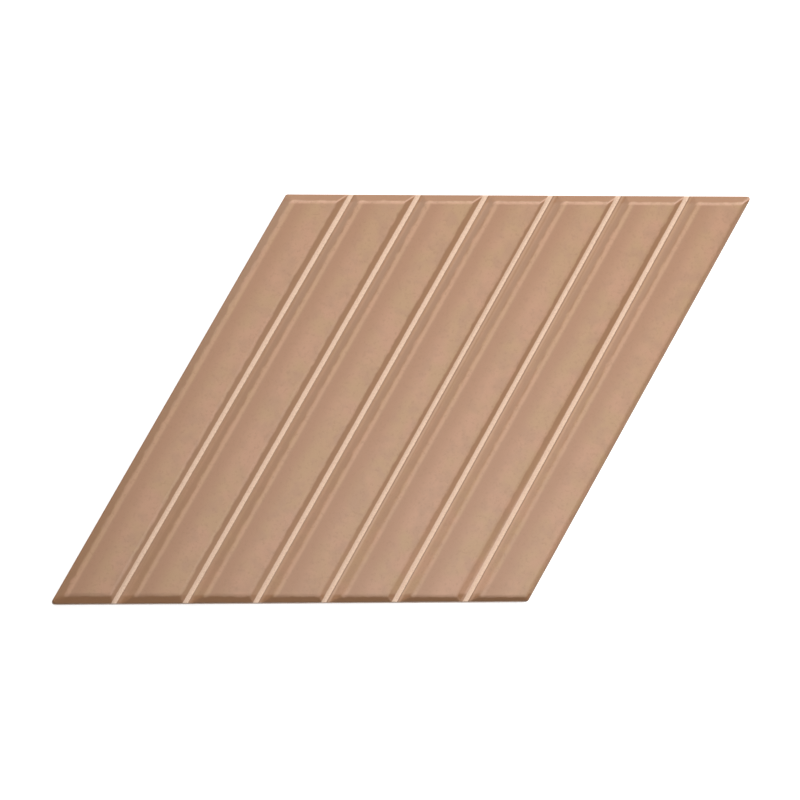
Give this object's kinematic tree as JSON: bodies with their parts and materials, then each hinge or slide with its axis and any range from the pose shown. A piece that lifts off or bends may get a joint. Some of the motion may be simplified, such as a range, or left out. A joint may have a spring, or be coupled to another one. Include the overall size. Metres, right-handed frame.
{
  "type": "ceramic wall tile",
  "caption": "Rhombus wall tile with parallel bevelled bars and pale imitation joints in the grooves between them, keyed back.",
  "frame": {"origin": "centre of the bed, the flat back that goes to the wall", "axes": "+X along the two sides that cross the bars, +Y up in the picture of the tile, +Z out of the glazed face"},
  "size_m": [0.2268, 0.1316, 0.0085],
  "materials": {
    "glaze": "semi-gloss warm brown glaze, slightly mottled, with pale cream lines in the grooves"
  },
  "bodies": {
    "root": {"tile": "glaze"}
  },
  "joints": []
}
